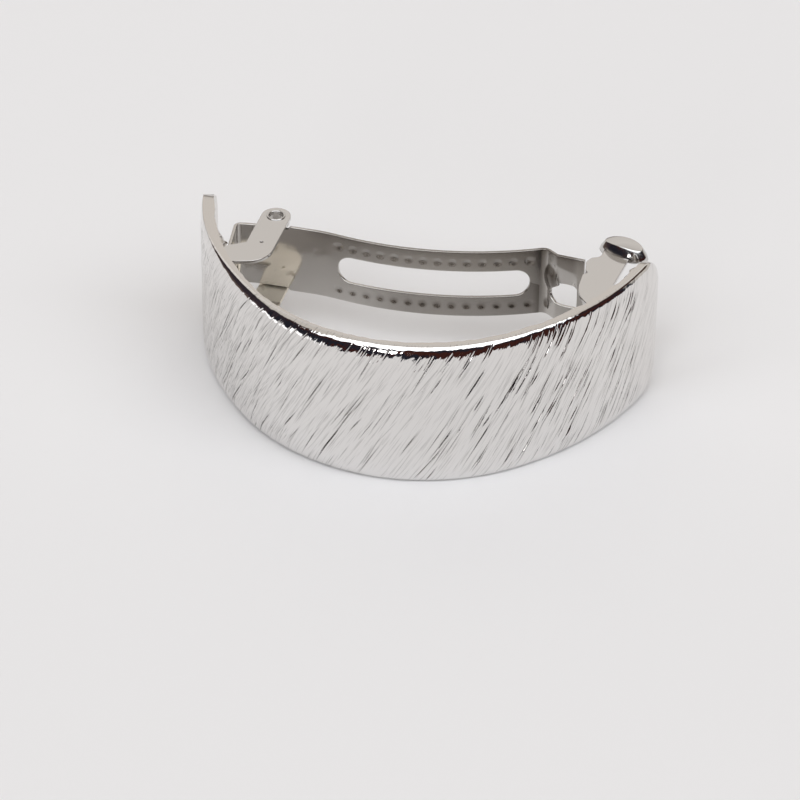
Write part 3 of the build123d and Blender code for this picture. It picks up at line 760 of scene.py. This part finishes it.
pad_profile = list(zip(wall_inset, np.linspace(-SHEET, PAD_WALL, WALL_STEPS + 1)))
pad_profile += [
    (round_x - EDGE_ROUND * math.cos(t), round_z + EDGE_ROUND * math.sin(t)) for t in turn_over[1:]
]
rim_inset, rim_height = pad_profile[-1]
pad_profile += [
    (rim_inset + (PAD_WIDE - rim_inset) * t, rim_height + CROWN_RISE * (1 - (1 - t) ** 2))
    for t in np.linspace(0, 1, 14)[1:-1]
]
PAD_CROWN = rim_height + CROWN_RISE


def pad_shell(thinner, around=96):
    """Oval rings of the pad's profile, and its crown; a thinner shell lies inside the outer one."""
    t = np.linspace(0, 2 * np.pi, around, endpoint=False)
    inset_mm, height_mm = np.array(pad_profile).T[:, :, None]
    share = np.clip(1 - (inset_mm + thinner) / PAD_WIDE, 0.02, 1)
    x = (PAD_LONG - PAD_WIDE + PAD_WIDE * share) * np.cos(t)
    x = np.where(share < NARROW, x * share / NARROW, x)
    y = PAD_WIDE * share * np.sin(t)
    level = 1 - (PAD_BARREL - np.sqrt(PAD_BARREL**2 - x * x)) / PAD_CROWN
    z = np.minimum(height_mm, 0) + np.maximum(height_mm, 0) * level
    z = MID + CATCH_SPAN / 2 + np.maximum(z - thinner, -SHEET)
    c, d = math.cos(PAD_TURN), math.sin(PAD_TURN)
    rings = np.stack([PAD_X + x * c - y * d, PAD_Y + x * d + y * c, z], axis=-1)
    return rings, np.array([[PAD_X, PAD_Y, MID + CATCH_SPAN / 2 + PAD_CROWN - thinner]])


outer, outer_crown = pad_shell(0.0)
inner, inner_crown = pad_shell(PAD_SKIN)
rings_n, around = outer.shape[:2]
pad_points = np.concatenate([outer.reshape(-1, 3), outer_crown, inner.reshape(-1, 3), inner_crown])
crown, below = rings_n * around, rings_n * around + 1
outside = np.roll(ring_faces(rings_n, around)[:, ::-1], 1, axis=1)
foot, next_foot = np.arange(around), np.roll(np.arange(around), -1)
last, next_last = foot + (rings_n - 1) * around, next_foot + (rings_n - 1) * around
top = np.full(around, crown)
pad_faces = [
    *outside.tolist(), *(below + outside[:, ::-1]).tolist(),
    *np.stack([last, next_last, top], axis=-1).tolist(),
    *(below + np.stack([top, next_last, last], axis=-1)).tolist(),
    *np.stack([next_foot, foot, below + foot, below + next_foot], axis=-1).tolist(),
]
pad = (pad_points, pad_faces, [False] * len(pad_faces))
catch_parts = joined([wing, lower_twin(wing), web_strip(64.5, 75.6, 1, CATCH_SPAN), pad, lower_twin(pad)])

# %% Hinge rivets
# A short tube with its upper end rolled over the ear and a collar inside the lug. The profile is a
# list of radii and heights, turned round the hinge's axis.
rivet_low, rivet_high = MID + 4.19 - 0.16, MID + EAR_SPAN / 2 + 0.16
roll_over = np.linspace(math.radians(-20), math.radians(180), 12)
tube = [(1.13 + 0.17 * math.cos(t), rivet_high - 0.15 + 0.15 * math.sin(t)) for t in roll_over]
tube += [
    (0.96, rivet_low + 0.1), (1.0, rivet_low), (1.18, rivet_low), (1.2, rivet_low + 0.06),
    (1.18, rivet_low + 0.14), (1.05, rivet_low + 0.16), (1.05, rivet_high - 0.2),
]
radii, levels = np.array(tube).T
turns = np.linspace(0, 2 * np.pi, 64, endpoint=False)[:, None]
x, y = HINGE_X + radii * np.cos(turns), HINGE_Y + radii * np.sin(turns)
rivet_points, rivet_faces = swept(np.stack([x, y, np.broadcast_to(levels, x.shape)], axis=-1), closed=True)
rivet = (rivet_points, rivet_faces, [False] * len(rivet_faces))

# %% [markdown]
# ## Closing arm
# One strip of sheet, drawn from the folded heel at the left to the stepped tongue at the right. Its
# plan line is walked in straight runs and arcs. Every column of the grid stands at one place along
# that line; the rows run from the opening (slot or window) out to the long edge, above and below.
# Where there is no opening both halves meet at the split line and are welded. A flat strip could
# also be bent by a Curve modifier, but then the dents would stretch with it.

# %% Plan line of the arm
NECK_HALF, ARM_HALF = 4.7, 5.1
ARM_RADIUS, SHOULDER_RADIUS, ARM_LEFT = 44.0, 25.0, 8.93
ARM_AT_HINGE = HINGE_Y - 1.75
APEX = (-6.0, ARM_AT_HINGE - (ARM_RADIUS + SHOULDER_RADIUS) * (1 - math.cos(math.radians(ARM_LEFT))))
TO_HEEL = [
    (ARM_RADIUS, -ARM_LEFT), (SHOULDER_RADIUS, ARM_LEFT), (5.63, 0), (21.0, 11.0), (0.5, 87.0), (5.4, 0),
]
TO_TONGUE = [(ARM_RADIUS, 27.2), (1.05, -63.2), (1.25, 0), (0.6, 32.0), (3.75, 0)]


def walk(x, y, heading, moves):
    """Points and headings along straight runs (length, 0) and arcs (radius, turn in degrees)."""
    trail = [(x, y, heading)]
    for size, turned in moves:
        x, y, heading = trail[-1]
        if turned == 0:
            for d in np.linspace(0, size, max(3, int(size / 0.2)))[1:]:
                trail.append((x + d * math.cos(heading), y + d * math.sin(heading), heading))
            continue
        swing, hand = math.radians(turned), math.copysign(1, turned)
        centre = (x - hand * size * math.sin(heading), y + hand * size * math.cos(heading))
        for t in np.linspace(0, swing, max(9, int(abs(swing) * size / 0.2)))[1:]:
            across, along = math.sin(heading + t), math.cos(heading + t)
            trail.append((centre[0] + hand * size * across, centre[1] - hand * size * along, heading + t))
    return np.array(trail)


leftwards, rightwards = walk(*APEX, math.pi, TO_HEEL), walk(*APEX, 0.0, TO_TONGUE)
leftwards[:, 2] -= math.pi
trail = np.concatenate([leftwards[::-1], rightwards[1:]])
run = np.concatenate([[0], np.cumsum(np.hypot(*np.diff(trail[:, :2], axis=0).T))])
total = run[-1]
print("arm along its plan line:", round(total, 1), "mm")


def run_at(x):
    """Distance along the plan line at a given x, right of the heel's leftmost point."""
    heel = np.argmin(trail[:, 0])
    return float(np.interp(x, trail[heel:, 0], run[heel:]))


# %% Columns, openings and dents of the arm
SLOT_HALF_LENGTH, SLOT_HALF = 12.85, 2.0
WINDOW_HALF, WINDOW_MID, WINDOW_ROUND = 1.5, -1.25, 2.8
DENT_ROW, DENT_RADIUS, DENT_DEPTH = 3.4, 0.62, 0.17
slot_a, slot_b = run_at(-SLOT_HALF_LENGTH), run_at(SLOT_HALF_LENGTH)
window_a, window_b = run_at(15.45), run_at(19.4)
dent_runs = np.array([run_at(x) for x in (np.arange(14) - 6.5) * (25.25 / 13)])
crowd = 1 - np.cos(np.linspace(0, np.pi / 2, 14))
columns = np.unique(np.round(np.concatenate([
    np.linspace(0, total, 130), np.linspace(5.0, 6.6, 14), np.linspace(slot_a, slot_b, 170),
    slot_a + SLOT_HALF * crowd, slot_b - SLOT_HALF * crowd,
    window_a + WINDOW_ROUND * crowd, [window_b - 0.02, window_b + 0.02],
    np.linspace(run_at(13.9), run_at(17.8), 52), np.linspace(total - 0.4, total, 7),
]), 4))
columns = columns[np.concatenate([[True], np.diff(columns) > 0.012])]
columns[-1] = total
columns = columns[:, None]


def round_end(p, centre, radius, half):
    """Half height of an opening in its round end: half times root of 1 minus t squared."""
    t = np.clip((p - centre) / radius, -1, 1)
    return half * np.sqrt(1 - t * t)


slot_left = round_end(columns, slot_a + SLOT_HALF, SLOT_HALF, SLOT_HALF)
slot_right = round_end(columns, slot_b - SLOT_HALF, SLOT_HALF, SLOT_HALF)
window_left = round_end(columns, window_a + WINDOW_ROUND, WINDOW_ROUND, WINDOW_HALF)
opening = np.select([
    (columns >= slot_a) & (columns < slot_a + SLOT_HALF),
    (columns > slot_b - SLOT_HALF) & (columns <= slot_b),
    (columns >= slot_a) & (columns <= slot_b),
    (columns >= window_a) & (columns < window_a + WINDOW_ROUND),
    (columns >= window_a) & (columns <= window_b),
], [slot_left, slot_right, SLOT_HALF, window_left, WINDOW_HALF], 0.0)
opening = np.where(opening < 1e-3, 0, opening)
split = WINDOW_MID * np.clip((columns - slot_b) / (window_a - slot_b), 0, 1)
neck = np.clip((columns - run_at(HINGE_X + 2.25)) / 0.25, 0, 1)
half = NECK_HALF + (ARM_HALF - NECK_HALF) * neck * neck * (3 - 2 * neck)

# %% Surface of the arm
# Each half of the arm has one grid of places for both faces of the sheet. What is pressed into the
# sheet moves both faces alike: the dents, an oval bead and a small dent at the window, and the
# window's bent upper edge. The sheet's own edges are eased by a quarter circle.
EASE = 0.12
near_edge = np.array([0, 0.012, 0.035, 0.07, EASE])
middle_rows = np.linspace(0, 1, 26)
BEAD_HEIGHT, SMALL_DEPTH, FOLD_SLOPE, FOLD_EASE = 0.45, 0.22, 0.3, 0.02
TONGUE_ROUND, TONGUE_HOLLOW = 12, 0.2


def within(p, z, x, z_middle, long, wide):
    """One minus the squared distance from an oval's middle, in its half axes: 0 outside it."""
    return np.clip(1 - (((p - run_at(x)) / long) ** 2 + ((z - z_middle) / wide) ** 2), 0, None)


def eased(e):
    """Depth of the rounded sheet edge at a distance e inside it."""
    c = np.clip(EASE - e, 0, None)
    return EASE - np.sqrt(EASE**2 - c * c)


def arm_half(side):
    """Front and back grids of the upper (+1) or lower (-1) half, columns by rows, and its painted shade."""
    inner = side * split + opening
    low, high = inner + 0.2, half - 0.2
    u = np.concatenate([inner + near_edge, low + (high - low) * middle_rows, half - near_edge[::-1]], axis=1)
    p = np.repeat(columns, u.shape[1], axis=1)
    z = side * u
    to_edge = np.minimum(half - u, np.where(opening > 0.02, u - inner, EASE))
    rounding = eased(np.clip(to_edge, 0, EASE))
    bead, small = within(p, z, 15.5, 1.15, 1.2, 2.0), within(p, z, 15.05, -3.3, 0.5, 0.95)
    press = np.zeros_like(u)
    for centre in dent_runs:
        r2 = ((p - centre) ** 2 + (u - DENT_ROW) ** 2) / DENT_RADIUS**2
        press += DENT_DEPTH * np.clip(1 - r2, 0, None) ** 2
    press -= BEAD_HEIGHT * bead**1.5
    press += SMALL_DEPTH * small**1.5
    t = np.clip((p - run_at(15.8)) / (window_b - run_at(15.8)), 0, 1)
    crease = 5.0 - 2.35 * t**0.3
    folded = np.clip((p - run_at(15.9)) / 0.9, 0, 1) * np.clip((window_b - 0.05 - p) / 0.6, 0, 1)
    if side > 0:
        fold = np.clip(crease - u, 0, None)
        press += FOLD_SLOPE * folded * (np.sqrt(fold**2 + FOLD_EASE) - math.sqrt(FOLD_EASE))

    # Shade and reflection are painted into the colour here: darker in dents, bead, crease and strips.
    nearest = dent_runs[np.abs(p[..., None] - dent_runs).argmin(axis=-1)]
    dark = 0.32 * np.clip(1 - ((p - nearest) ** 2 + (u - DENT_ROW) ** 2) / 0.75**2, 0, None)
    dark += 0.75 * bead**0.7 + 0.5 * small
    dark += 0.3 * eased_step(p, run_at(13.0), run_at(14.2)) * eased_step(-p, -run_at(15.3), -run_at(14.6))
    if side > 0:
        under_edge = np.exp(-np.clip(half - u - 0.15, 0, None) / 0.9)
        dark += 0.42 * under_edge * eased_step(p, run_at(-19), run_at(-14))
        dark += 0.3 * folded * eased_step(u, crease - 0.1, crease + 0.1)
    else:
        dark += 0.4 * eased_step(p, run_at(-12), run_at(-2)) * (p < run_at(14))

    arc = TONGUE_ROUND - np.sqrt(TONGUE_ROUND**2 - np.clip(z, -11, 11) ** 2)
    p = p - np.clip(TONGUE_HOLLOW - arc, 0, None) * np.clip(1 - (total - p) / 0.85, 0, 1)
    x, y, turned = (np.interp(p, run, trail[:, k]) for k in range(3))
    faces = []
    for depth in (press + rounding, press + ARM_SHEET - rounding):
        across, along = depth * np.sin(turned), depth * np.cos(turned)
        faces.append(np.stack([x - across, y + along + PLAN_SHIFT, MID + z], axis=-1))
    return faces, np.clip(dark, 0, 1)


# %% Arm mesh
# Both faces, the wall along the outer edge, the wall of the openings and the two end walls. The
# weld joins the halves, and one recalculation turns every face outwards.
ARM_EDGES = (np.s_[:, -1], np.s_[:, 0], np.s_[0, :], np.s_[-1, :])
is_open = np.maximum(opening[:-1, 0], opening[1:, 0]) > 0
arm_points, arm_faces, arm_shade_values = [], [], []
for side in (1, -1):
    (front, rear), dark = arm_half(side)
    start = sum(len(p) for p in arm_points)
    f_index = np.arange(dark.size).reshape(dark.shape) + start
    b_index = f_index + dark.size
    arm_points += [front.reshape(-1, 3), rear.reshape(-1, 3)]
    arm_shade_values += [dark.ravel(), dark.ravel()]
    for grid in (f_index, b_index):
        quads = np.stack([grid[:-1, :-1], grid[1:, :-1], grid[1:, 1:], grid[:-1, 1:]], -1)
        arm_faces += quads.reshape(-1, 4).tolist()
    edges = [(f_index[edge], b_index[edge]) for edge in ARM_EDGES]
    walls = [np.stack([a[:-1], a[1:], b[1:], b[:-1]], axis=-1) for a, b in edges]
    walls[1] = walls[1][is_open]
    arm_faces += np.concatenate(walls).tolist()
arm_points = np.concatenate(arm_points)
arm_sheet = make_piece("arm_sheet", arm_points, arm_faces, arm_metal, "arm", ["clip_arm"])
arm_mesh = arm_sheet.data
# Painted shade and reflection for the arm's colour, one number a point.
set_attribute(arm_mesh, "painted_arm_shade", np.concatenate(arm_shade_values))
welded = bmesh.new()
welded.from_mesh(arm_mesh)
bmesh.ops.remove_doubles(welded, verts=welded.verts, dist=2e-7)
bmesh.ops.dissolve_degenerate(welded, edges=welded.edges, dist=1e-8)
bmesh.ops.recalc_face_normals(welded, faces=welded.faces)
open_edges = sum(1 for edge in welded.edges if len(edge.link_faces) != 2)
print("arm open edges", open_edges, "volume", round(welded.calc_volume() * 1e9, 1), "mm3")
welded.to_mesh(arm_mesh)
welded.free()
arm_mesh.set_sharp_from_angle(angle=math.radians(50))

# %% Lugs of the arm and the other fittings
LUG_HALF = 1.8
lug_base = [(HINGE_X - LUG_HALF, ARM_AT_HINGE + 0.2), (HINGE_X + LUG_HALF, ARM_AT_HINGE + 0.2)]
lug_outline = np.array([*lug_base, *half_round(LUG_HALF, 21)])
lug = sheet_plate(lug_outline, [rivet_hole], MID + NECK_HALF - ARM_SHEET, MID + NECK_HALF)
for name, (points, faces, flat), body, nodes in (
    ("hinge_sheet", hinge_parts, "band", ["hinge_bracket"]),
    ("catch_sheet", catch_parts, "band", ["catch_bracket"]),
    ("rivet_upper", rivet, "band", ["hinge_rivet_top"]),
    ("rivet_lower", lower_twin(rivet), "band", ["hinge_rivet_bottom"]),
    ("arm_lugs", joined([lug, lower_twin(lug)]), "arm", []),
):
    points = np.asarray(points, dtype=float) + np.array([0, PLAN_SHIFT, 0])
    piece = make_piece(name, points, faces, sheet_metal, body, nodes).data
    piece.polygons.foreach_set("use_smooth", ~np.array(flat))
    if name == "hinge_sheet":
        piece.materials.append(rough_metal)
        lower_ear = np.zeros(len(faces), dtype=int)
        lower_ear[len(ear[1]):2 * len(ear[1])] = 1
        piece.polygons.foreach_set("material_index", lower_ear)

# %% [markdown]
# ## Solder
# Where the brackets are fixed to the plate's hollow side, lumps of solder show above them. Each is a
# patch of two sizes of value noise that rises from just under the hollow face, and dies away at
# its own border. They could be sculpted, but noise gives such chance shapes with no handwork. The
# limits are an arc length and a height from and to, then thickness and grain.

# %% Solder lumps
SOLDER = (
    ("solder_at_catch", (39.0, 45.6), (15.0, 20.2), 3.0, 2.0),
    ("solder_at_hinge", (-38.5, -34.0), (15.5, 20.4), 1.6, 1.1),
)
for name, (s_from, s_to), (z_from, z_to), thick, grain in SOLDER:
    u, v = np.meshgrid(np.linspace(-1, 1, 56), np.linspace(-1, 1, 44))
    lump_s = (s_from + s_to) / 2 + u * (s_to - s_from) / 2
    lump_z = (z_from + z_to) / 2 + v * (z_to - z_from) / 2
    window = (np.clip(1 - u * u, 0, 1) * np.clip(1 - v * v, 0, 1)) ** 0.35
    shape = 0.5 + 0.35 * lumps(lump_s, lump_z, grain) + 0.25 * lumps(lump_s, lump_z, grain / 2)
    top = bent(lump_s, lump_z, PLATE_THICK + (thick * window * shape - 0.1))
    foot = bent(lump_s, lump_z, np.full_like(u, PLATE_THICK - 0.2))
    loop = rim_loop(*u.shape)
    walls = np.stack([loop, loop + u.size, np.roll(loop, -1) + u.size, np.roll(loop, -1)], axis=-1)
    faces = [*grid_faces(*u.shape, flip=True), *grid_faces(*u.shape, start=u.size), *walls[:, ::-1]]
    points = np.concatenate([top.reshape(-1, 3), foot.reshape(-1, 3)])
    make_piece(name, points, faces, plain_metal, "band", [])
